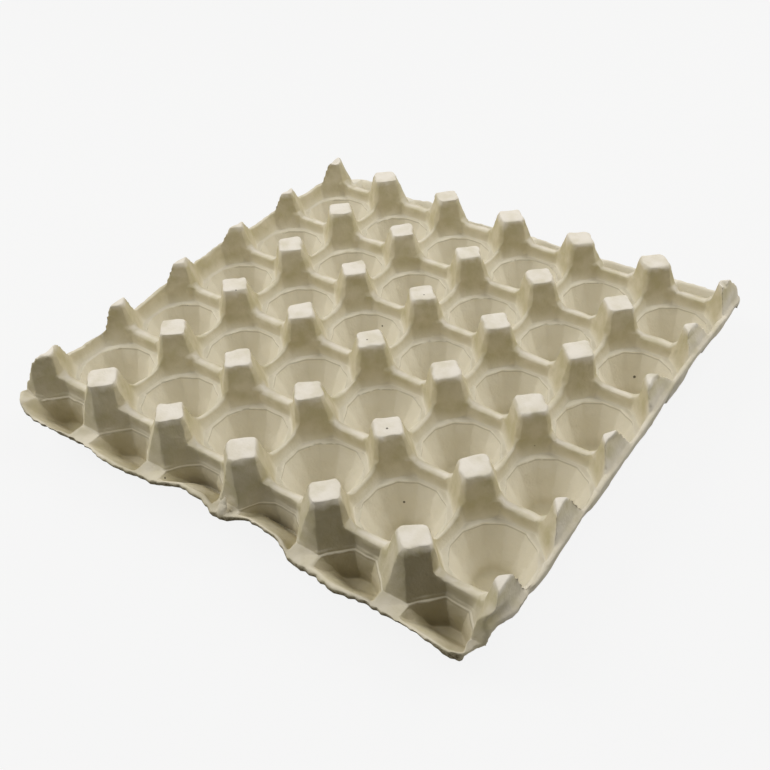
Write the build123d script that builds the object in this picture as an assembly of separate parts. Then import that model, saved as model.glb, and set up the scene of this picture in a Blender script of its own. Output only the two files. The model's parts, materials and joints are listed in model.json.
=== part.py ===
from build123d import *
from math import cos, pi, radians, sin, sqrt, tan
import os

# Egg tray moulded from paper pulp in one piece, for thirty eggs.
# The sides at the ends of X finish in half posts, the sides at the ends of Y in half pockets.
# Z is up from the surface that the cup floors stand on, and the origin is at the middle below.
# Lengths are in mm and angles in degrees.

# Grid of the cups
pitch = 49.0
cups_along_x = 6
cups_along_y = 5

# Heights above the resting plane
tray_height = 47.0
side_flange_height = 34.0
saddle_height = 30.0
crease_height = 22.7
end_flange_height = 21.5
cup_waist_height = 11.0
pocket_floor_height = 6.0

# Pulp
wall = 2.0
draft = 13.5

# Posts between the cups, square with their corners cut and turned towards the ridges
post_top = 13.6
post_top_corners = 17.4
corner_draft = 14.8
half_post_inset = 3.7
half_post_draft = 11.5
end_post_draft = 18.5

# Ridges from post to post, turned up where they meet a post
ridge_top = 3.4
ridge_flat = 17.0
ridge_turn_rise = 3.2

# Cups, twelve-sided below the crease and measured across the flats
cup_sides = 12
crease_across = 39.8
waist_across = 29.5
floor_across = 18.4

# Half pockets along the ends of Y, eight-sided and measured from their middle to the flats
pocket_side = 17.5
pocket_back = 20.0
pocket_slant = 18.4
pocket_floor_side = 9.0
pocket_floor_back = 14.5
pocket_floor_slant = 12.4
lip_draft = 30.0

# Outer edge of the sheet
side_overhang = 1.5
end_overhang = 2.5
edge_corner = 14.0
rim_width = 2.0
side_flange_slope = 10.0
slope_start = 14.5

# Places that follow from the grid
half_x = cups_along_x * pitch / 2
half_y = (cups_along_y + 1) * pitch / 2
cup_xs = [(i + 0.5) * pitch - half_x for i in range(cups_along_x)]
cup_ys = [(j + 1) * pitch - half_y for j in range(cups_along_y)]
end_posts_y = half_y - pitch / 2
sheet_x = 2 * (half_x + side_overhang)
sheet_y = 2 * (half_y + end_overhang)

# Cutting bodies run this far past the tray
beyond = 10.0
above = tray_height + beyond


def spread(height, angle):
    # How far a wall with this draft moves sideways over a height
    return height * tan(radians(angle))


def walled(rings):
    # Flat-sided body through a stack of rings that have equally many corners
    faces = [make_face(Polyline(*ring, close=True)) for ring in (rings[0], rings[-1])]
    for low, high in zip(rings, rings[1:]):
        for i in range(len(low)):
            faces.append(make_face(Polyline(low[i - 1], low[i], high[i], high[i - 1], close=True)))
    return Solid(Shell(faces))


def cup_ring(across, height):
    # Corners of a regular ring with a flat towards each neighbouring cup
    radius = across / 2 / cos(pi / cup_sides)
    turns = [(2 * i + 1) * pi / cup_sides for i in range(cup_sides)]
    return [(radius * cos(turn), radius * sin(turn), height) for turn in turns]


def eight_ring(side, back, slant, height):
    # Corners of a ring with flats at these distances along X, along Y and between them
    side_end = slant * sqrt(2) - side
    back_end = slant * sqrt(2) - back
    half = [(side, -side_end), (side, side_end), (back_end, back), (-back_end, back)]
    return [(x, y, height) for x, y in half + [(-x, -y) for x, y in half]]


def mouth(bottom, post_draft):
    # Space above this height between four ridges and the faces of four posts
    rings = []
    for height in (bottom, above):
        to_ridge = (pitch - ridge_top) / 2 - spread(saddle_height - height, draft)
        to_post = pitch / sqrt(2) - post_top / 2 - spread(tray_height - height, post_draft)
        rings.append(eight_ring(to_ridge, to_ridge, to_post, height))
    return walled(rings)


def post_corner(height):
    # From the middle of a post to its cut corners
    return post_top_corners / 2 + spread(tray_height - height, corner_draft)


def cup_hollows():
    # Hollow of one cup, in two bodies that meet at the crease
    bowl = walled([
        cup_ring(floor_across, wall),
        cup_ring(waist_across, cup_waist_height),
        cup_ring(crease_across, crease_height),
    ])
    both = (bowl, mouth(crease_height, draft))
    return [Pos(x, y) * hollow for x in cup_xs for y in cup_ys for hollow in both]


def pocket_hollows():
    # Hollows of the half pockets along both ends, closed by a lip on the outside
    bowl = walled([
        eight_ring(pocket_floor_side, pocket_floor_back, pocket_floor_slant, pocket_floor_height),
        eight_ring(pocket_side, pocket_back, pocket_slant, end_flange_height),
    ])
    lip = end_overhang - rim_width
    foot = lip - spread(end_flange_height, lip_draft)
    profile = Polyline((foot, 0), (lip, end_flange_height), (-pitch, end_flange_height), (-pitch, 0), close=True)
    bowl &= extrude(Plane.YZ * make_face(profile), pitch / 2, both=True)
    pocket = [Pos(0, half_y) * hollow for hollow in (bowl, mouth(end_flange_height, end_post_draft))]
    back = [Pos(x, 0) * hollow for x in cup_xs for hollow in pocket]
    return back + [mirror(hollow, Plane.XZ) for hollow in back]


def channel_profile(floor):
    # Space between the cut corners of two posts, above a ridge or a flange at this height
    turned = floor + ridge_turn_rise
    right = [(ridge_flat / 2, floor)]
    right += [(pitch / 2 - post_corner(height), height) for height in (turned, above)]
    return make_face(Polyline(*right, *[(-x, z) for x, z in reversed(right)], close=True))


def channels():
    # Spaces straight across the tray both ways, lowered to the ridges between cups
    ridge, flange = channel_profile(saddle_height), channel_profile(side_flange_height)
    along_y = [extrude(Plane.XZ * Pos(x, 0) * ridge, half_y + beyond, both=True) for x in cup_xs]
    along_x = [extrude(Plane.YZ * Pos(y, 0) * ridge, cup_xs[-1], both=True) for y in cup_ys]
    across = [extrude(Plane.YZ * Pos(y, 0) * flange, half_x + beyond, both=True) for y in cup_ys]
    return along_y + along_x + across


def side_space(low):
    # Space above this height outside the tray, which slices the outer posts in half
    foot = half_x - half_post_inset + spread(tray_height - low, half_post_draft)
    head = half_x - half_post_inset - spread(above - tray_height, half_post_draft)
    far = half_x + 2 * beyond
    profile = Polyline((foot, low), (head, above), (far, above), (far, low), close=True)
    return extrude(Plane.XZ * make_face(profile), half_y + beyond, both=True)


def corner_space():
    # Space over the last part of a side flange, which slopes down to the corner
    start = end_posts_y - slope_start
    far = half_y + 2 * beyond
    low = side_flange_height - spread(far - start, side_flange_slope)
    profile = Polyline((start, side_flange_height), (far, side_flange_height), (far, low), close=True)
    return side_space(end_flange_height) & extrude(Plane.YZ * make_face(profile), half_x + 2 * beyond)


def side_spaces():
    # Spaces above the flanges at the ends of X
    corner = corner_space()
    right = [side_space(side_flange_height), corner, mirror(corner, Plane.XZ)]
    return right + [mirror(space, Plane.YZ) for space in right]


def end_spaces():
    # Space above the low flanges at the ends of Y, up to the outer corners of the end posts
    foot = end_posts_y + post_corner(end_flange_height)
    head = end_posts_y + post_corner(above)
    far = half_y + 2 * beyond
    low = end_flange_height
    profile = Polyline((foot, low), (head, above), (far, above), (far, low), close=True)
    space = extrude(Plane.YZ * make_face(profile), half_x + beyond, both=True)
    return [space, mirror(space, Plane.XZ)]


def egg_tray():
    # Everything under the top surface, less everything under the same surface moved in by the wall
    hollows = cup_hollows() + pocket_hollows() + channels() + side_spaces() + end_spaces()
    outline = RectangleRounded(sheet_x, sheet_y, edge_corner)
    outside = extrude(Pos(0, 0, -1) * outline, tray_height + 1) - hollows
    grown = [offset(hollow, wall, kind=Kind.INTERSECTION) for hollow in hollows]
    core = extrude(Pos(0, 0, -beyond) * Rectangle(sheet_x + beyond, sheet_y + beyond), beyond + tray_height - wall)
    return outside - (core - grown)


os.makedirs("parts", exist_ok=True)
export_step(egg_tray(), "parts/egg_tray.step")
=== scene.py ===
import json
from math import radians

import bpy
import numpy as np
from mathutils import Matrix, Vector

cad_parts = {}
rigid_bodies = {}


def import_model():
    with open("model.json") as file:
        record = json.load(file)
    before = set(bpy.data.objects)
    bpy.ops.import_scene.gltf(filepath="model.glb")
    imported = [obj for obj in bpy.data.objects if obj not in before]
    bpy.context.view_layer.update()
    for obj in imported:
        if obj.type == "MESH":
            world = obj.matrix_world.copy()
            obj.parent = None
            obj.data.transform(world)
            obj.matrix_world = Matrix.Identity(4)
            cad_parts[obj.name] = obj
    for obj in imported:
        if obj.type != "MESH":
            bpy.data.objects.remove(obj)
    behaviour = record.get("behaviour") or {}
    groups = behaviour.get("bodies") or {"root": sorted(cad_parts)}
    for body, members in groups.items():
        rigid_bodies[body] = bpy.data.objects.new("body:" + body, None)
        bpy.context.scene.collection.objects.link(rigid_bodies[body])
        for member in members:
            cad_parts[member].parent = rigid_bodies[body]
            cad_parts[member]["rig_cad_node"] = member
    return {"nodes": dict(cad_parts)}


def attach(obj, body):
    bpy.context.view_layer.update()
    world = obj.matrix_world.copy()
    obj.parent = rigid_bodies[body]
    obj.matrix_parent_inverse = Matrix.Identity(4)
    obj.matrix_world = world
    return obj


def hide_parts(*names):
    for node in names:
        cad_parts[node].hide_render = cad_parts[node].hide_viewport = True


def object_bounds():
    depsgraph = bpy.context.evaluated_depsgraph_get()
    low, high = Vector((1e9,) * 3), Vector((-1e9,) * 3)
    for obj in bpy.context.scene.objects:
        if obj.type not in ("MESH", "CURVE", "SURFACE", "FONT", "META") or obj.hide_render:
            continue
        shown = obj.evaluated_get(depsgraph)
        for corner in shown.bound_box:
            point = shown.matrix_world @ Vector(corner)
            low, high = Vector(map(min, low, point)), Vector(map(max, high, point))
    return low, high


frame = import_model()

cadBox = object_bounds()
perMetre = 1000  # the tray's sizes below are in mm, and Blender's lengths in metres
bpy.ops.object.select_all(action="DESELECT")


def linearColour(hexColour):
    # sRGB hex to the linear values that the shader wants
    values = [int(hexColour[i:i + 2], 16) / 255 for i in (1, 3, 5)]
    return [v / 12.92 if v <= 0.04045 else ((v + 0.055) / 1.055) ** 2.4 for v in values] + [1.0]


def addNode(tree, kind, settings=None, **links):
    # One node with its settings, and its inputs by name or by number.
    # An input takes a value, a hex colour or the socket that feeds it.
    node = tree.nodes.new(kind)
    for name, value in (settings or {}).items():
        setattr(node, name, value)
    for name, value in links.items():
        numbered = name[0] == "i" and name[1:].isdigit()
        socket = node.inputs[int(name[1:])] if numbered else node.inputs[name.replace("_", " ")]
        if isinstance(value, bpy.types.NodeSocket):
            tree.links.new(value, socket)
        else:
            socket.default_value = linearColour(value) if isinstance(value, str) else value
    return node


# Camera, where the photograph was taken from, in metres and degrees, with its lens in mm
view = {"place": (0.25883, -0.32437, 0.35273), "turn": (49.235, 1.577, 33.743), "lens": 43.834,
        "sensor": 36, "shift": (-0.07804, -0.00254)}
bpy.ops.object.camera_add(location=view["place"], rotation=[radians(a) for a in view["turn"]])
camera = bpy.context.object
camera.data.lens = view["lens"]
camera.data.sensor_width = view["sensor"]
camera.data.shift_x, camera.data.shift_y = view["shift"]
bpy.context.scene.camera = camera
bpy.context.scene.view_settings.view_transform = "Standard"
print("camera placed")

# Studio: white floor, a large soft lamp on either side of the tray, and weaker light all round
studio = {"floorSize": 8.0, "floorColour": "#A8A8A6", "white": "#FFFFFF", "fillColour": "#FFFDF8",
          "floorGlow": 0.88,  # how white the camera sees the floor, which lights the tray by its colour alone
          "fill": 0.27, "lampSize": 0.8, "leftPlace": (-0.84, -0.34, 0.92), "leftPower": 9.0,
          "rightPlace": (0.48, 0.74, 0.94), "rightPower": 8.5}


def aimedLamp(name, place, power):
    # A square soft box turned to the middle of the tray
    bpy.ops.object.light_add(type="AREA", location=place)
    lamp = bpy.context.object
    lamp.name = name
    lamp.data.size = studio["lampSize"]
    lamp.data.energy = power
    lamp.rotation_euler = (-lamp.location).to_track_quat("-Z", "Y").to_euler()


def seenDirectly(tree):
    # 1 for what the camera sees, by itself or in metal or glass, and 0 for what only lights other things
    seen = addNode(tree, "ShaderNodeLightPath").outputs
    seenOrShown = addNode(tree, "ShaderNodeMath", {"operation": "MAXIMUM"},
                          i0=seen["Is Camera Ray"], i1=seen["Is Glossy Ray"])
    return addNode(tree, "ShaderNodeMath", {"operation": "MAXIMUM"},
                   i0=seenOrShown.outputs[0], i1=seen["Is Transmission Ray"]).outputs[0]


aimedLamp("leftSoftBox", studio["leftPlace"], studio["leftPower"])
aimedLamp("rightSoftBox", studio["rightPlace"], studio["rightPower"])

world = bpy.data.worlds.new("studioAir")
bpy.context.scene.world = world
world.use_nodes = True
air = world.node_tree
air.nodes.clear()
fill = addNode(air, "ShaderNodeBackground", Color=studio["fillColour"], Strength=studio["fill"])
white = addNode(air, "ShaderNodeBackground", Color=studio["white"], Strength=1.0)
mixed = addNode(air, "ShaderNodeMixShader", i0=seenDirectly(air), i1=fill.outputs[0], i2=white.outputs[0])
addNode(air, "ShaderNodeOutputWorld", Surface=mixed.outputs[0])

bpy.ops.mesh.primitive_plane_add(size=studio["floorSize"], location=(0, 0, 0))
floor = bpy.context.object
floor.name = "studioFloor"
paper = bpy.data.materials.new("matt_white_studio_paper")
paper.use_nodes = True
tree = paper.node_tree
tree.nodes.clear()
matt = addNode(tree, "ShaderNodeBsdfDiffuse", Color=studio["floorColour"])
glow = addNode(tree, "ShaderNodeEmission", Color=studio["white"], Strength=1.0)
share = addNode(tree, "ShaderNodeMath", {"operation": "MULTIPLY"},
                i0=seenDirectly(tree), i1=studio["floorGlow"])
both = addNode(tree, "ShaderNodeMixShader", i0=share.outputs[0], i1=matt.outputs[0], i2=glow.outputs[0])
addNode(tree, "ShaderNodeOutputMaterial", Surface=both.outputs[0])
floor.data.materials.append(paper)
print("studio ready")

# The tray's own sizes, in mm and degrees
grid = {"pitch": 49, "columns": 7, "rows": 6, "postTop": 47, "ridge": 30, "crease": 22.7,
        "sideFlange": 34, "endFlange": 21.5, "flangeWidth": 6, "flangeSlope": 10, "slopeStart": 14.5,
        "halfPosts": 147, "halfPockets": 147, "endPosts": 122.5, "edgeX": 148.5, "edgeY": 149.5}

# The moulded sheet: folds slightly rounded, ends pushed in and bowed, edge left ragged, in mm.
# A pair of numbers is where something starts and where it is full, mostly counted from a part of the grid.
sheet = {
    "voxel": 0.7, "weld": 0.001, "rounding": 1, "triangles": 190000,
    # rounder places: down from a post's top, and off a ridge's height and its line
    "pressedRounding": 9, "pressedTop": 2, "pressedHeight": 2.2, "pressedLine": 3.5,

    # ridges along X are thick and high, ridges along Y are thin and hang between the posts
    "acrossRidge": 0.8, "acrossRise": 0.6, "acrossEnd": 6,
    "alongRidge": -0.3, "alongSag": 1.7, "sagFromPost": (10, 23), "alongEnd": -20,
    "ridgeFoot": (-6, -2), "ridgeHead": (1, 4), "ridgeSide": 1.2, "ridgeWidth": (3, 6),
    "ridgeFromPost": (9, 12),

    # thin raised line round each cup's crease
    "bead": 0.45, "beadWidth": 0.6, "beadInside": (17, 18.5), "beadOutside": (21.5, 23), "beadFacing": 0.2,

    # posts off their place, out of level and low, with crumpled tops
    "postShift": 0.35, "postTilt": 0.025, "postDrop": 0.45, "dropSpread": (0.5, 1.5), "postHead": 2,
    "crumple": 0.5, "crumpleLength": 9, "crumpleHeights": (-4, -1),

    # set back of the ends and lift of the side flanges, by place along the edge in pitches
    "frontSetBack": ((-3, 1.0), (-2.8, 0), (-2.52, 0), (-2.39, 0), (-2.11, 1.5), (-1.78, 1.2), (-1.62, 0),
                     (-1.23, 0.1), (-1.05, 2.3), (-0.89, 1.6), (-0.75, 4.9), (-0.61, 8.1), (-0.25, 7.6),
                     (-0.13, 3.9), (0.02, 3.5), (0.13, 6.3), (0.23, 9.5), (0.51, 8.7), (0.71, 8.0),
                     (0.82, 3.9), (0.94, 2.2), (1.07, 1.6), (1.21, 2.2), (1.4, 0), (1.53, 0), (1.75, 2.0),
                     (1.97, 2.1), (2.19, 1.4), (2.62, 0.5), (3, 1.5)),
    "backSetBack": ((-3, 0), (-2.73, 0.4), (-1.89, 4.0), (-1.64, 1.5), (-0.88, 7.0), (-0.57, 7.0),
                    (0.08, 3.8), (0.53, 5.2), (1.14, 4.0), (1.55, 4.0), (2.15, 2.2), (2.59, 1.5), (3, 1.5)),
    "leftLift": ((-3, 0), (-2.5, 0), (-2.1, -4), (-1.7, -3), (-1.2, -3), (-0.8, -0.5), (0, 2.5),
                 (0.3, 3.5), (0.9, -0.5), (1.3, 1.5), (2.0, -2), (2.4, -1), (3, 0)),
    "rightLift": ((-3, 0), (-2.7, 1), (-2.2, -3.5), (-1.9, -2), (-1.7, 0), (-0.8, 0.5), (0.2, 1),
                  (0.7, 4.3), (1.4, 3.6), (1.9, 1), (2.25, -1), (2.6, 2), (3, 0)),
    "tableRounding": 0.06,
    "pocketFromPost": (5, 13), "pushReach": 8, "pocketReach": 18,
    "lipUndercut": 0.28, "lipThickness": 1, "lipDepth": 14, "undercutReach": (10, 24),
    "pocketRise": 0.5, "pocketRiseHeights": (8, 20), "backSink": 0.25, "backSinkHeights": (14, 20),
    "sideReach": (-10, -2), "sideHeights": (22, 30), "overSide": (36, 46),
    "rightLean": 1.8, "leanReach": (-14, -6), "leanHeights": (34, 46), "leanFrom": (-100, -60),
    # corners that were bent: where, and how they moved
    "corners": ((147, -147, (-3.4, 1.8, 0)), (148, -136, (-5, 0, -1)), (147, 147, (-3.8, -2.5, 7)),
                (-147, -147, (0, 0, 6.5))),
    "cornerReach": (3, 16), "cornerHeights": (32, 42),

    # edge thinned from below, rolled over on the right and in places in front, and frayed elsewhere
    "edgeDepth": 2.2, "edgeThinned": 0.25, "thinnedReach": (1.5, 5),
    "rolledEdge": 1.1, "rolledDepth": 3, "rightRoll": (-1.6, -0.5), "frontRoll": (-1.8, -0.6), "rollEnd": 3,
    "rollPatches": 0.45, "rollLength": 22, "cornerRoll": 1.6, "cornerRollFrom": (118, 134),
    "ragged": 1.1, "raggedLength": 4.5, "raggedHeight": 0.3, "frayReach": (-1.2, -0.2), "leftFray": 0.5,
    "leftFrayMiddle": 1, "leftFrayDepth": 2,
    # torn places: where, how far round it, and how the pulp moved
    "tears": (((143, 122.5, 47), 2.6, (0, 0, -2.4)), ((-141, 121.5, 47), 2.4, (0, 0, -2.0)),
              ((147.5, -96.1, 34), 1.2, (-1.5, 0, -0.6)), ((147.5, -48.0, 34), 1.2, (-1.5, 0, -0.6)),
              ((147.5, -108.9, 33.8), 2.0, (-1.8, 0, -1.2)), ((3.4, -142.5, 21.5), 1.6, (0, 0, -1.1)),
              ((-143, -124, 45), 7, (1.8, 0, -2.2))),
    # flake that curls up from the front rim: middle, half lengths and slope
    "curl": {"middle": (0.0, -143.0, 25.4), "halves": (2.8, 6.8, 1.7), "slope": 37,
             "segments": 32, "rings": 16},

    # unevenness all over, as wavelength and height, less at the feet and on the post tops
    "waves": ((38, 0.6), (14, 0.25), (5, 0.1)), "freeHeights": (0.5, 6), "topHeld": 0.4, "topDepth": 1.5,
    "rippleParts": 14, "rippleLengths": (0.7, 1.4), "rippleHeight": 1.4,
    "seeds": {"posts": 41, "crumpledX": 19, "crumpledY": 20, "rolled": 17, "frayed": 7, "spilled": 11}}


def step(value, low, high):
    # Smooth rise from 0 at low to 1 at high
    t = np.clip((value - low) / (high - low), 0, 1)
    return t * t * (3 - 2 * t)


def stepFrom(value, level, ramp):
    # The same rise, with its two ends counted from a level
    return step(value, level + ramp[0], level + ramp[1])


def along(table, value):
    # Reads a table of places in pitches and moves in mm, with its corners rounded
    places, moves = zip(*table)
    shifts = (-sheet["tableRounding"], 0, sheet["tableRounding"])
    return sum(np.interp(value / grid["pitch"] + shift, places, moves) for shift in shifts) / len(shifts)


def ripple(points, length, seed):
    # Smooth random field between about -1 and 1, with this wavelength in mm
    rng = np.random.default_rng(seed)
    total = np.zeros(len(points))
    for part in range(sheet["rippleParts"]):
        way = rng.normal(size=3)
        way /= np.linalg.norm(way) * length * rng.uniform(*sheet["rippleLengths"])
        total += np.sin(2 * np.pi * (points @ way + rng.uniform()))
    return total / sheet["rippleParts"] ** 0.5 / sheet["rippleHeight"]


def offPosts(x, y):
    # How far a place is from the nearest line of posts, along X and along Y
    pitch = grid["pitch"]
    return x - pitch * np.round(x / pitch), y - pitch * (np.floor(y / pitch) + 0.5)


def readPoints(mesh, what="co"):
    # The places of all points in mm, or their normals
    values = np.empty(len(mesh.vertices) * 3, np.float32)
    mesh.vertices.foreach_get(what, values)
    return values.reshape(-1, 3).astype(float) * (perMetre if what == "co" else 1)


def writePoints(mesh, points):
    # Puts the points back, none of them outside the hard-edged tray's box
    inside = np.clip(points / perMetre, cadBox[0], cadBox[1])
    mesh.vertices.foreach_set("co", inside.astype(np.float32).ravel())
    mesh.update()


def curledFlake():
    # Rolled-up flake of pulp, sunk into the rim at its lower end
    curl = sheet["curl"]
    bpy.ops.mesh.primitive_uv_sphere_add(segments=curl["segments"], ring_count=curl["rings"],
                                         radius=1 / perMetre,
                                         location=[v / perMetre for v in curl["middle"]],
                                         rotation=(radians(curl["slope"]), 0, 0), scale=curl["halves"])


def mouldedSheet(source):
    # Copy the hard-edged sheet, weld it, and take the sharpness off its folds
    bpy.ops.object.select_all(action="DESELECT")
    source.select_set(True)
    bpy.context.view_layer.objects.active = source
    bpy.ops.object.duplicate()
    tray = bpy.context.object
    tray.name = "mouldedTray"
    tray.parent = None
    del tray["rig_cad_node"]
    bpy.ops.object.mode_set(mode="EDIT")
    bpy.ops.mesh.select_all(action="SELECT")
    bpy.ops.mesh.remove_doubles(threshold=sheet["weld"] / perMetre)
    bpy.ops.object.mode_set(mode="OBJECT")
    curledFlake()
    tray.select_set(True)
    bpy.context.view_layer.objects.active = tray
    bpy.ops.object.join()
    remesh = tray.modifiers.new("evenSheet", "REMESH")
    remesh.mode = "VOXEL"
    remesh.voxel_size = sheet["voxel"] / perMetre
    bpy.ops.object.modifier_apply(modifier=remesh.name)
    smooth = tray.modifiers.new("roundFolds", "SMOOTH")
    smooth.iterations = sheet["rounding"]
    bpy.ops.object.modifier_apply(modifier=smooth.name)

    # Post tops and ridges were pressed against felt, and are rounder
    x, y, z = readPoints(tray.data).T
    offX, offY = offPosts(x, y)
    onLine = np.minimum(np.abs(offX), np.abs(offY)) < sheet["pressedLine"]
    onRidge = (np.abs(z - grid["ridge"]) < sheet["pressedHeight"]) & onLine
    pressed = (z > grid["postTop"] - sheet["pressedTop"]) | onRidge
    group = tray.vertex_groups.new(name="pressed")
    group.add(np.flatnonzero(pressed).tolist(), 1.0, "REPLACE")
    smooth = tray.modifiers.new("roundPressed", "SMOOTH")
    smooth.iterations = sheet["pressedRounding"]
    smooth.vertex_group = group.name
    bpy.ops.object.modifier_apply(modifier=smooth.name)
    tray.vertex_groups.clear()
    return tray


def thickenRidges(points):
    # The ridges are rounded bars, thicker one way than the other
    x, y, z = points.T
    moved = points.copy()
    offX, offY = offPosts(x, y)
    ridge = grid["ridge"]
    high = stepFrom(z, ridge, sheet["ridgeFoot"]) * (1 - stepFrom(z, ridge, sheet["ridgeHead"]))
    onAcross = (1 - step(np.abs(offY), *sheet["ridgeWidth"])) * step(np.abs(offX), *sheet["ridgeFromPost"])
    onAcross *= high * (np.abs(y) < grid["endPosts"] + sheet["acrossEnd"])
    onAlong = (1 - step(np.abs(offX), *sheet["ridgeWidth"])) * step(np.abs(offY), *sheet["ridgeFromPost"])
    onAlong *= high * (np.abs(x) < grid["halfPosts"] + sheet["alongEnd"])
    moved[:, 1] += sheet["acrossRidge"] * onAcross * np.clip(offY / sheet["ridgeSide"], -1, 1)
    moved[:, 2] += sheet["acrossRise"] * onAcross
    moved[:, 0] += sheet["alongRidge"] * onAlong * np.clip(offX / sheet["ridgeSide"], -1, 1)
    moved[:, 2] -= sheet["alongSag"] * onAlong * step(np.abs(offY), *sheet["sagFromPost"])
    return moved


def beadCreases(points, normals):
    # The fold between each cup and its mouth stands out as a thin line, on the upper side of the sheet
    x, y, z = points.T
    pitch = grid["pitch"]
    offX, offY = x - pitch * (np.floor(x / pitch) + 0.5), y - pitch * np.round(y / pitch)
    radius = np.hypot(offX, offY)
    line = np.exp(-((z - grid["crease"]) / sheet["beadWidth"]) ** 2)
    line *= step(radius, *sheet["beadInside"]) * (1 - step(radius, *sheet["beadOutside"]))
    outward = (normals[:, 0] * offX + normals[:, 1] * offY) / np.maximum(radius, 1)
    upper = normals[:, 2] - outward > sheet["beadFacing"]
    return normals * (sheet["bead"] * line * upper)[:, None]


def warpPosts(points):
    # Each post dried a little off its place, with its top crumpled and out of level
    x, y, z = points.T
    moved = points.copy()
    pitch, columns, rows = grid["pitch"], grid["columns"], grid["rows"]
    column = np.clip(np.round(x / pitch), -(columns // 2), columns // 2)
    row = np.clip(np.round(y / pitch - 0.5), -(rows // 2), rows // 2 - 1)
    index = (column + columns // 2).astype(int) * rows + (row + rows // 2).astype(int)
    rng = np.random.default_rng(sheet["seeds"]["posts"])
    shift = rng.normal(size=(columns * rows, 2)) * sheet["postShift"]
    tilt = rng.normal(size=(columns * rows, 2)) * sheet["postTilt"]
    drop = rng.uniform(*sheet["dropSpread"], size=columns * rows) * sheet["postDrop"]
    high = step(z, grid["ridge"], grid["postTop"] - sheet["postHead"])
    dx, dy = x - column * pitch, y - (row + 0.5) * pitch
    moved[:, :2] += high[:, None] * shift[index]
    crumpled = sheet["crumple"] * stepFrom(z, grid["postTop"], sheet["crumpleHeights"])
    moved[:, 0] += crumpled * ripple(points, sheet["crumpleLength"], sheet["seeds"]["crumpledX"])
    moved[:, 1] += crumpled * ripple(points, sheet["crumpleLength"], sheet["seeds"]["crumpledY"])
    moved[:, 2] += high * (dx * tilt[index, 0] + dy * tilt[index, 1] - drop[index])
    return moved


def edgeSetBack(x, y):
    # How far the front and the back edge lie inside their drawn place
    front = along(sheet["frontSetBack"], x)
    back = along(sheet["backSetBack"], x)
    return np.where(y < 0, front, back)


def bowEdges(points):
    # Ends pushed in between the posts, and the half pockets with them
    x, y, z = points.T
    moved = points.copy()
    toPost = np.abs(x / grid["pitch"] - np.round(x / grid["pitch"])) * grid["pitch"]
    inPocket = step(toPost, *sheet["pocketFromPost"])
    fromEnd = grid["halfPockets"] - np.abs(y)
    push = edgeSetBack(x, y) * (1 - step(fromEnd, 0, sheet["pushReach"] + sheet["pocketReach"] * inPocket))
    underLip = np.clip(grid["endFlange"] - sheet["lipThickness"] - z, 0, sheet["lipDepth"])
    undercut = sheet["lipUndercut"] * underLip * inPocket * (1 - step(fromEnd, *sheet["undercutReach"]))
    moved[:, 1] -= np.sign(y) * (push + undercut)
    lowInPocket = inPocket * (1 - step(z, *sheet["pocketRiseHeights"])) * (y < 0)
    moved[:, 2] += sheet["pocketRise"] * push * lowInPocket
    moved[:, 2] -= sheet["backSink"] * push * (y > 0) * step(z, *sheet["backSinkHeights"])

    # Side flanges bowed up and down, and the right half posts leaning in
    side = stepFrom(np.abs(x), grid["halfPosts"], sheet["sideReach"])
    side *= step(z, *sheet["sideHeights"]) * (1 - step(z, *sheet["overSide"]))
    moved[:, 2] += side * np.where(x > 0, along(sheet["rightLift"], y), along(sheet["leftLift"], y))
    lean = stepFrom(x, grid["halfPosts"], sheet["leanReach"])
    lean *= step(z, *sheet["leanHeights"]) * step(y, *sheet["leanFrom"])
    moved[:, 0] -= sheet["rightLean"] * lean

    for cornerX, cornerY, move in sheet["corners"]:
        near = 1 - step(np.hypot(x - cornerX, y - cornerY), *sheet["cornerReach"])
        near *= 1 - step(z, *sheet["cornerHeights"])
        moved += near[:, None] * move
    return moved


def sideFlangeTop(y):
    # The side flanges slope down to the corners over their last part
    sloped = np.clip(np.abs(y) - (grid["endPosts"] - grid["slopeStart"]), 0, None)
    return np.maximum(grid["sideFlange"] - sloped * np.tan(radians(grid["flangeSlope"])), grid["endFlange"])


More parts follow.
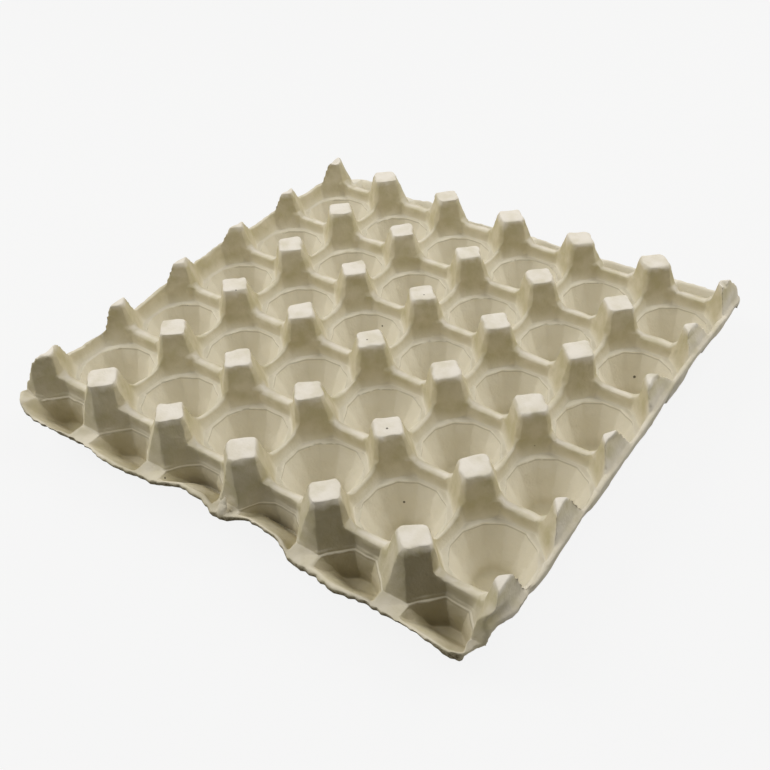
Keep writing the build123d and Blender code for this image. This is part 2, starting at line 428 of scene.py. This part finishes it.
def tearEdges(points):
    # Outer edge thinned, and rolled over on the right and in patches in front
    x, y, z = points.T
    moved = points.copy()
    edgeX, edgeY, seeds = grid["edgeX"], grid["edgeY"], sheet["seeds"]
    onSides = edgeX - np.abs(x) < grid["flangeWidth"]
    top = np.where(onSides, sideFlangeTop(y), grid["endFlange"])
    below = np.clip(top - z, 0, sheet["edgeDepth"])
    toEdge = np.minimum(edgeX - np.abs(x), edgeY - np.abs(y))
    thinned = (1 - step(toEdge, *sheet["thinnedReach"])) * (x < edgeX - grid["flangeWidth"])
    moved[:, 2] += sheet["edgeThinned"] * below * thinned
    onRight = stepFrom(x, edgeX, sheet["rightRoll"]) * (top - z < sheet["rolledDepth"])
    moved[:, 2] -= sheet["rolledEdge"] * below * onRight
    patches = ripple(points * (1, 1, 0), sheet["rollLength"], seeds["rolled"])
    rolled = (sheet["rollPatches"] * (1 + patches)).clip(0, 1)
    rolled += sheet["cornerRoll"] * step(x, *sheet["cornerRollFrom"])
    onFront = stepFrom(-y, edgeY, sheet["frontRoll"]) * (x < edgeX - sheet["rollEnd"])
    moved[:, 2] -= sheet["rolledEdge"] * below * onFront * rolled

    # Frayed in front, at the back and on the left
    frays = ripple(points * (1, 1, sheet["raggedHeight"]), sheet["raggedLength"], seeds["frayed"])
    frayed = sheet["ragged"] * (0.5 + 0.5 * frays).clip(0, 1)
    onLeft = stepFrom(-x, edgeX, sheet["frayReach"])
    onLeft *= np.abs(top - sheet["leftFrayMiddle"] - z) < sheet["leftFrayDepth"]
    moved[:, 0] += sheet["leftFray"] * frayed * onLeft
    moved[:, 1] -= np.sign(y) * frayed * stepFrom(np.abs(y), edgeY, sheet["frayReach"])

    for place, reach, move in sheet["tears"]:
        away = np.linalg.norm(points - place, axis=1)
        moved += np.exp(-(away / reach) ** 2)[:, None] * np.array(move)
    return moved


def handled(tray):
    # The moves of a thin pulp sheet that has dried, been stacked and been carried about
    points = readPoints(tray.data)
    normals = readPoints(tray.data, "normal")
    moved = points.copy()
    for change in (thickenRidges, warpPosts, bowEdges, tearEdges):
        moved += change(points) - points
    moved += beadCreases(points, normals)
    z = points[:, 2]
    onTop = step(z, grid["postTop"] - sheet["topDepth"], grid["postTop"])
    free = step(z, *sheet["freeHeights"]) * (1 - sheet["topHeld"] * onTop)
    for seed, (length, height) in enumerate(sheet["waves"]):
        moved += normals * (height * free * ripple(points, length, seed))[:, None]
    writePoints(tray.data, moved)


def thin(tray):
    # Fewer triangles, most of them kept along the folds
    fewer = tray.modifiers.new("fewerFaces", "DECIMATE")
    fewer.ratio = sheet["triangles"] / (2 * len(tray.data.polygons))
    bpy.ops.object.modifier_apply(modifier=fewer.name)
    writePoints(tray.data, readPoints(tray.data))
    bpy.ops.object.shade_smooth()
    flat = tray.modifiers.new("flatFacets", "WEIGHTED_NORMAL")  # large faces keep their own direction
    flat.keep_sharp = False
    bpy.ops.object.modifier_apply(modifier=flat.name)


tray = mouldedSheet(frame["nodes"]["egg_tray"])
print("sheet rounded", len(tray.data.vertices))
handled(tray)
print("sheet bent and torn")
thin(tray)
print("sheet thinned", len(tray.data.polygons))

# Marks on the sheet, each from 0 to 1. A pair of numbers is where a mark starts and where it is full,
# in mm, or as how far a face looks up.
marks = {
    # rubbed pale and painted light: what faces up over a height, on the flanges from lower down, and most on
    # the post tops
    "scuffLitFacing": (0.4, 0.92), "scuffLitHeights": (19, 21), "scuffLitInside": 26, "scuffLitEnds": 9, "scuffLitSides": -6,
    "scuffLitLeast": 0.4, "scuffLitTops": (40, 46),
    # over the edges of the post tops
    "spill": 0.75, "spillHeights": (-3.6, -1), "spillWave": 1.1, "spillLength": 6,
    # painted highlight along the ridges, partly rubbing, and painted light on the right edge
    "rubHighlight": 0.85, "rubHighlightWidth": 1.7, "rubHighlightFacing": (0.2, 0.7), "rubHighlightHeight": 3, "rubHighlightFromPost": 8, "rubHighlightEnd": 5,
    "rightPaintedLight": 0.55, "rightReach": (-6, -3.5),
    # painted shade below the ragged front and back edges, and painted shadow in the gap beside the curled
    # flake: where, and how far round it
    "raggedShadeReach": (1.5, 3.0), "raggedShadeFacing": (0.1, 0.6), "raggedShadeHeight": 24,
    "gapShadows": (((3.2, -142.4, 21.5), 1.2), ((2.9, -140.2, 21.6), 1.1), ((2.6, -138.4, 22.0), 1.0)),
    # painted light low in the cups, standing for light that falls into them and comes through the sheet, and
    # less of it in the front pockets
    "paintedCupLight": 0.8, "overPaintedCupLight": (21, 31), "paintedCupLightLeast": 0.5, "paintedCupLightFloors": (2, 6), "pocketLoss": 0.8,
    "pocketReach": (0, 8), "pocketLeast": 0.1,
    # painted shade and highlight lines along the folds, in the cups and in the pockets
    "foldFacing": 0.75, "foldSides": -9, "foldEnds": -9, "foldRadius": (16, 18),
    # painted shade on the front row, more so to the right, but not on its tops or at the corner
    "paintedShadeFront": (110, 117), "paintedShadeLeast": 0.3, "paintedShadeMore": 0.45, "paintedShadeRight": (0, 90),
    "paintedShadeTops": (43, 46), "paintedShadeCorner": (126, 131),
    # the flake gets no painted shade and a little painted light: half its width, its ends along Y, its foot,
    # and how much light is painted on it
    "flakeWidth": 3, "flakeEnds": (-147, -136), "flakeFoot": 22.3, "flakeLitScuff": 0.35}


def scuffAndLightMarks(points, facesUp):
    # Where the sheet is rubbed pale, and where light and highlights are painted on it
    x, y, z = points.T
    flanges = np.abs(y) > grid["endPosts"] + marks["scuffLitEnds"]
    flanges |= np.abs(x) > grid["halfPosts"] + marks["scuffLitSides"]
    # pale where it faces up, higher up: partly rubbing, partly painted light from above
    upper = step(facesUp, *marks["scuffLitFacing"]) * step(z, *marks["scuffLitHeights"])
    upper *= flanges | (z > marks["scuffLitInside"])
    upper *= marks["scuffLitLeast"] + (1 - marks["scuffLitLeast"]) * step(z, *marks["scuffLitTops"])
    wave = marks["spillWave"] * ripple(points, marks["spillLength"], sheet["seeds"]["spilled"])
    spilled = marks["spill"] * stepFrom(z + wave, grid["postTop"], marks["spillHeights"])
    offX, offY = offPosts(x, y)
    # painted highlight along the ridges, partly rubbing
    onRidge = (np.abs(z - grid["ridge"]) < marks["rubHighlightHeight"]) & (np.abs(offX) > marks["rubHighlightFromPost"])
    onRidge &= np.abs(y) < grid["endPosts"] + marks["rubHighlightEnd"]
    rubbedHighlight = marks["rubHighlight"] * np.exp(-(offY / marks["rubHighlightWidth"]) ** 2) * onRidge
    rubbedHighlight *= step(facesUp, *marks["rubHighlightFacing"])
    # painted light on the right edge, where less light comes up from the floor
    rightSide = marks["rightPaintedLight"] * stepFrom(x, grid["edgeX"], marks["rightReach"])
    return np.maximum.reduce([upper, spilled, rubbedHighlight, rightSide])


def raggedShadeMarks(points, facesUp):
    # Painted shade under the ragged front and back edges, and painted shadow in the gaps beside the flake
    x, y, z = points.T
    toEnd = grid["edgeY"] - edgeSetBack(x, y) - np.abs(y)
    raggedShade = (1 - step(toEnd, *marks["raggedShadeReach"])) * (1 - step(facesUp, *marks["raggedShadeFacing"]))
    raggedShade *= z < marks["raggedShadeHeight"]
    # painted shadow in the gaps beside the curled flake
    for place, reach in marks["gapShadows"]:
        raggedShade = np.maximum(raggedShade, np.exp(-(np.linalg.norm(points - place, axis=1) / reach) ** 2))
    return raggedShade


def paintWear(tray):
    # Writes the marks on the points, for the material to read
    points = readPoints(tray.data)
    x, y, z = points.T
    facesUp = readPoints(tray.data, "normal")[:, 2]
    inPocket = stepFrom(np.abs(y), grid["endPosts"], marks["pocketReach"])
    # painted light low in the cups, less in the front pockets
    paintedCupLight = marks["paintedCupLight"] * (1 - step(z, *marks["overPaintedCupLight"]))
    paintedCupLight *= marks["paintedCupLightLeast"] + (1 - marks["paintedCupLightLeast"]) * step(z, *marks["paintedCupLightFloors"])
    paintedCupLight *= 1 - marks["pocketLoss"] * inPocket * (y < 0)

    # Height over the nearest fold, and where there is one
    offX, offY = offPosts(x, y)
    radius = np.hypot(np.abs(offX) - grid["pitch"] / 2, np.abs(offY) - grid["pitch"] / 2)
    pocketed = inPocket > marks["pocketLeast"]
    toFold = z - np.where(pocketed, grid["endFlange"], grid["crease"])
    fold = (facesUp < marks["foldFacing"]) * (np.abs(x) < grid["halfPosts"] + marks["foldSides"])
    fold = fold * np.where(pocketed, np.abs(y) < grid["edgeY"] + marks["foldEnds"],
                           step(radius, *marks["foldRadius"]))

    # painted shade on the faces of the front row, more to the right
    paintedShade = step(-y, *marks["paintedShadeFront"])
    paintedShade *= marks["paintedShadeLeast"] + marks["paintedShadeMore"] * step(x, *marks["paintedShadeRight"])
    paintedShade *= (1 - step(z, *marks["paintedShadeTops"])) * (1 - step(x, *marks["paintedShadeCorner"]))

    front, back = marks["flakeEnds"]
    onFlake = (np.abs(x) < marks["flakeWidth"]) & (y > front) & (y < back) & (z > marks["flakeFoot"])
    # no painted shade on the flake, and a little painted light
    painted = {"paintedShade": paintedShade * ~onFlake, "raggedShade": raggedShadeMarks(points, facesUp) * ~onFlake,
               "scuffedAndLit": np.maximum(scuffAndLightMarks(points, facesUp), marks["flakeLitScuff"] * onFlake),
               "paintedCupLight": paintedCupLight, "fold": fold, "toFold": toFold}
    for name, values in painted.items():
        mark = tray.data.attributes.new(name, "FLOAT", "POINT")
        mark.data.foreach_set("value", values.astype(np.float32))


# Moulded paper pulp: matt and mottled by clumps of fibre, scuffed pale on top with painted light there too,
# painted light low in the cups, painted shade on the front row, under the ragged edges and below the folds,
# and painted highlights over the folds
pulp = {
    # of the tones below, the scuffed one is partly painted light, the bowl one is painted light, and the
    # dingy and torn ones are painted shade
    "base": "#D2C8AC", "shade": "#C2B894", "scuffedAndLit": "#EAE3D6", "raggedShade": "#5E5238", "speck": "#4E4535",
    "bowl": "#EAE4D3", "paintedShade": "#7C7258", "roughness": 0.95, "specular": 0.2,
    # size, detail, height and strength of the noise that stands for clumps, fibres and dents, in mm
    "clump": 9, "clumpDetail": 4.0, "fibre": 1.2, "fibreDetail": 3.0, "fibreHeight": 0.3, "fibreRelief": 0.5,
    "dent": 5, "dentDetail": 2.0, "dentHeight": 1.0, "dentRelief": 0.4,
    # range of that noise over which the tone turns, and for the scuffs with painted light and for the painted
    # shade under the ragged edges the least and most of them
    "mottled": (0.35, 0.65), "patchy": (0.3, 0.6, 0.6, 1.0), "loose": (0.35, 0.65, 0.4, 1.0),
    # way that the faces with painted shade look, and how nearly
    "paintedShadeWay": (0.707, -0.707, 0), "paintedShadeTurn": (0.45, 0.85),
    # painted shade line under each fold and painted highlight line over it: middle, strength and colour, with
    # the line's half width
    "foldShadeAndHighlight": ((-0.45, 0.3, "#7A6B4A"), (0.35, 0.6, "#F0E9D6")), "foldWidth": (0.2, 0.5),
    # dark specks that were in the pulp, and last a speck of painted shadow in the gap beside the curled
    # flake: where, and how far across
    "specks": ((117.0, 62.0, 9.6, 1.2), (117.6, 61.0, 10.6, 0.9), (49.5, -75.8, 46.6, 0.9),
               (2.1, 23.4, 46.6, 0.7), (-0.3, -26.2, 46.6, 0.7), (-25.5, 17.5, 17.2, 0.9),
               (-96.0, -94.5, 28.9, 0.8), (64.1, -85.5, 12.7, 0.9), (-134.0, -32.8, 22.4, 0.8),
               (-92.6, -28.9, 46.3, 0.7), (-41.0, -140.6, 19.6, 0.8), (106.0, -32.4, 28.4, 0.8),
               # the last speck is painted shadow in the gap beside the curled flake
               (4.3, -142.3, 21.2, 0.6)),
    "speckCore": 0.5, "speckRim": 0.8, "speckTone": 0.9}


def pulpMaterial():
    material = bpy.data.materials.new("moulded_paper_pulp")
    material.use_nodes = True
    tree = material.node_tree
    tree.nodes.clear()
    own = addNode(tree, "ShaderNodeTexCoord").outputs
    place = own["Object"]
    painted = {name: addNode(tree, "ShaderNodeAttribute", {"attribute_name": name}).outputs["Fac"]
               for name in ("paintedShade", "scuffedAndLit", "raggedShade", "paintedCupLight", "fold", "toFold")}

    # Mottled base, with painted light low in the cups
    clumps = addNode(tree, "ShaderNodeTexNoise", Vector=place, Scale=perMetre / pulp["clump"],
                     Detail=pulp["clumpDetail"]).outputs["Fac"]
    fibres = addNode(tree, "ShaderNodeTexNoise", Vector=place, Scale=perMetre / pulp["fibre"],
                     Detail=pulp["fibreDetail"]).outputs["Fac"]
    low, high = pulp["mottled"]
    spread = addNode(tree, "ShaderNodeMapRange", i0=clumps, i1=low, i2=high)
    colour = addNode(tree, "ShaderNodeMix", {"data_type": "RGBA"},
                     i0=spread.outputs[0], i6=pulp["shade"], i7=pulp["base"]).outputs[2]
    colour = addNode(tree, "ShaderNodeMix", {"data_type": "RGBA"},
                     i0=painted["paintedCupLight"], i6=colour, i7=pulp["bowl"]).outputs[2]

    # Painted shade on the faces of the front row that look to the front right
    facing = addNode(tree, "ShaderNodeVectorMath", {"operation": "DOT_PRODUCT"},
                     i0=own["Normal"], i1=pulp["paintedShadeWay"])
    low, high = pulp["paintedShadeTurn"]
    facing = addNode(tree, "ShaderNodeMapRange", i0=facing.outputs["Value"], i1=low, i2=high)
    much = addNode(tree, "ShaderNodeMath", {"operation": "MULTIPLY"},
                   i0=facing.outputs[0], i1=painted["paintedShade"])
    colour = addNode(tree, "ShaderNodeMix", {"data_type": "RGBA"},
                     i0=much.outputs[0], i6=colour, i7=pulp["paintedShade"]).outputs[2]

    # Scuffs and painted light come in patches
    low, high, least, most = pulp["patchy"]
    patchy = addNode(tree, "ShaderNodeMapRange", i0=clumps, i1=low, i2=high, i3=least, i4=most)
    much = addNode(tree, "ShaderNodeMath", {"operation": "MULTIPLY"},
                   i0=painted["scuffedAndLit"], i1=patchy.outputs[0])
    colour = addNode(tree, "ShaderNodeMix", {"data_type": "RGBA"},
                     i0=much.outputs[0], i6=colour, i7=pulp["scuffedAndLit"]).outputs[2]

    # Painted shade and highlight lines along the folds
    core, rim = pulp["foldWidth"]
    for middle, strength, tone in pulp["foldShadeAndHighlight"]:
        off = addNode(tree, "ShaderNodeMath", {"operation": "SUBTRACT"}, i0=painted["toFold"], i1=middle)
        off = addNode(tree, "ShaderNodeMath", {"operation": "ABSOLUTE"}, i0=off.outputs[0])
        line = addNode(tree, "ShaderNodeMapRange", i0=off.outputs[0], i1=core, i2=rim, i3=strength, i4=0.0)
        line = addNode(tree, "ShaderNodeMath", {"operation": "MULTIPLY"},
                       i0=line.outputs[0], i1=painted["fold"])
        colour = addNode(tree, "ShaderNodeMix", {"data_type": "RGBA"},
                         i0=line.outputs[0], i6=colour, i7=tone).outputs[2]

    # Painted shade under the ragged edges and painted shadow in the gaps, broken by loose fibres
    low, high, least, most = pulp["loose"]
    loose = addNode(tree, "ShaderNodeMapRange", i0=fibres, i1=low, i2=high, i3=least, i4=most)
    much = addNode(tree, "ShaderNodeMath", {"operation": "MULTIPLY"}, i0=painted["raggedShade"], i1=loose.outputs[0])
    colour = addNode(tree, "ShaderNodeMix", {"data_type": "RGBA"},
                     i0=much.outputs[0], i6=colour, i7=pulp["raggedShade"]).outputs[2]

    dark = 0.0
    for *middle, across in pulp["specks"]:
        away = addNode(tree, "ShaderNodeVectorMath", {"operation": "DISTANCE"},
                       i0=place, i1=[v / perMetre for v in middle])
        core, rim = across * pulp["speckCore"] / perMetre, across * pulp["speckRim"] / perMetre
        near = addNode(tree, "ShaderNodeMapRange", i0=away.outputs["Value"], i1=core, i2=rim,
                       i3=pulp["speckTone"], i4=0.0)
        dark = addNode(tree, "ShaderNodeMath", {"operation": "MAXIMUM"},
                       i0=near.outputs[0], i1=dark).outputs[0]
    colour = addNode(tree, "ShaderNodeMix", {"data_type": "RGBA"},
                     i0=dark, i6=colour, i7=pulp["speck"]).outputs[2]

    dents = addNode(tree, "ShaderNodeTexNoise", Vector=place, Scale=perMetre / pulp["dent"],
                    Detail=pulp["dentDetail"])
    grain = addNode(tree, "ShaderNodeBump", Height=fibres, Distance=pulp["fibreHeight"] / perMetre,
                    Strength=pulp["fibreRelief"])
    relief = addNode(tree, "ShaderNodeBump", Height=dents.outputs["Fac"], Normal=grain.outputs[0],
                     Distance=pulp["dentHeight"] / perMetre, Strength=pulp["dentRelief"])
    shader = addNode(tree, "ShaderNodeBsdfPrincipled", Base_Color=colour, Roughness=pulp["roughness"],
                     Specular_IOR_Level=pulp["specular"], Normal=relief.outputs[0])
    addNode(tree, "ShaderNodeOutputMaterial", Surface=shader.outputs[0])
    return material


paintWear(tray)
tray.data.materials.clear()
tray.data.materials.append(pulpMaterial())
print("pulp finished")
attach(tray, "root")
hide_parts("egg_tray")
